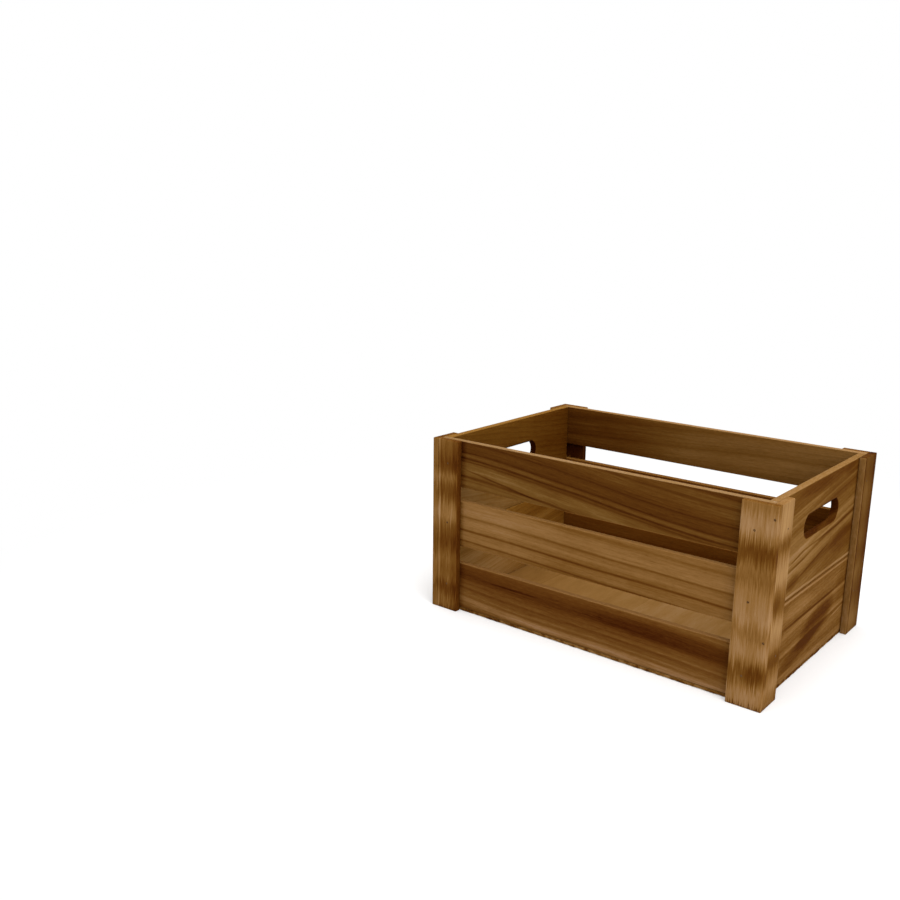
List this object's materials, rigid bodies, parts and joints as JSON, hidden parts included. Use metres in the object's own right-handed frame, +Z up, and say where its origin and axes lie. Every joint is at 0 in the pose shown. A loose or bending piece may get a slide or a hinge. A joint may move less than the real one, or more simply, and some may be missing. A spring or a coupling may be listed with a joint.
{
  "type": "wooden apple crate",
  "caption": "Open-topped wooden apple crate with slatted long sides, solid ends with a hand-hold slot each, corner angles of lapped strips and a thin panel bottom, torch-burnt finish.",
  "frame": {"origin": "centre of the footprint, on the surface that the crate stands on", "axes": "+X along the long sides, -Y the front long side, +Y the rear long side, +Z up towards the open top"},
  "size_m": [0.36, 0.24, 0.18],
  "materials": {
    "slat_wood": "satin, torch-burnt along the grain",
    "end_wood": "satin, torch-burnt along the grain",
    "strip_wood": "satin, with burnt bands across the strip",
    "panel_wood": "matt plywood, not burnt inside",
    "brad_steel": "dull"
  },
  "bodies": {
    "root": {"bottom_panel": "panel_wood", "front_slat_bottom": "slat_wood", "front_slat_middle": "slat_wood", "front_slat_top": "slat_wood", "rear_slat_bottom": "slat_wood", "rear_slat_middle": "slat_wood", "rear_slat_top": "slat_wood", "left_end_lower": "end_wood", "left_end_upper": "end_wood", "right_end_lower": "end_wood", "right_end_upper": "end_wood", "front_left_strip_on_end": "strip_wood", "front_left_strip_on_side": "strip_wood", "front_right_strip_on_end": "strip_wood", "front_right_strip_on_side": "strip_wood", "rear_left_strip_on_end": "strip_wood", "rear_left_strip_on_side": "strip_wood", "rear_right_strip_on_end": "strip_wood", "rear_right_strip_on_side": "strip_wood", "brad_front_left_angle_high": "brad_steel", "brad_front_left_angle_low": "brad_steel", "brad_front_left_end_lower": "brad_steel", "brad_front_left_end_upper": "brad_steel", "brad_front_left_slat_bottom": "brad_steel", "brad_front_left_slat_middle": "brad_steel", "brad_front_left_slat_top": "brad_steel", "brad_front_right_angle_high": "brad_steel", "brad_front_right_angle_low": "brad_steel", "brad_front_right_end_lower": "brad_steel", "brad_front_right_end_upper": "brad_steel", "brad_front_right_slat_bottom": "brad_steel", "brad_front_right_slat_middle": "brad_steel", "brad_front_right_slat_top": "brad_steel", "brad_panel_front_1": "brad_steel", "brad_panel_front_2": "brad_steel", "brad_panel_front_3": "brad_steel", "brad_panel_left_1": "brad_steel", "brad_panel_left_2": "brad_steel", "brad_panel_rear_1": "brad_steel", "brad_panel_rear_2": "brad_steel", "brad_panel_rear_3": "brad_steel", "brad_panel_right_1": "brad_steel", "brad_panel_right_2": "brad_steel", "brad_rear_left_angle_high": "brad_steel", "brad_rear_left_angle_low": "brad_steel", "brad_rear_left_end_lower": "brad_steel", "brad_rear_left_end_upper": "brad_steel", "brad_rear_left_slat_bottom": "brad_steel", "brad_rear_left_slat_middle": "brad_steel", "brad_rear_left_slat_top": "brad_steel", "brad_rear_right_angle_high": "brad_steel", "brad_rear_right_angle_low": "brad_steel", "brad_rear_right_end_lower": "brad_steel", "brad_rear_right_end_upper": "brad_steel", "brad_rear_right_slat_bottom": "brad_steel", "brad_rear_right_slat_middle": "brad_steel", "brad_rear_right_slat_top": "brad_steel"}
  },
  "joints": []
}
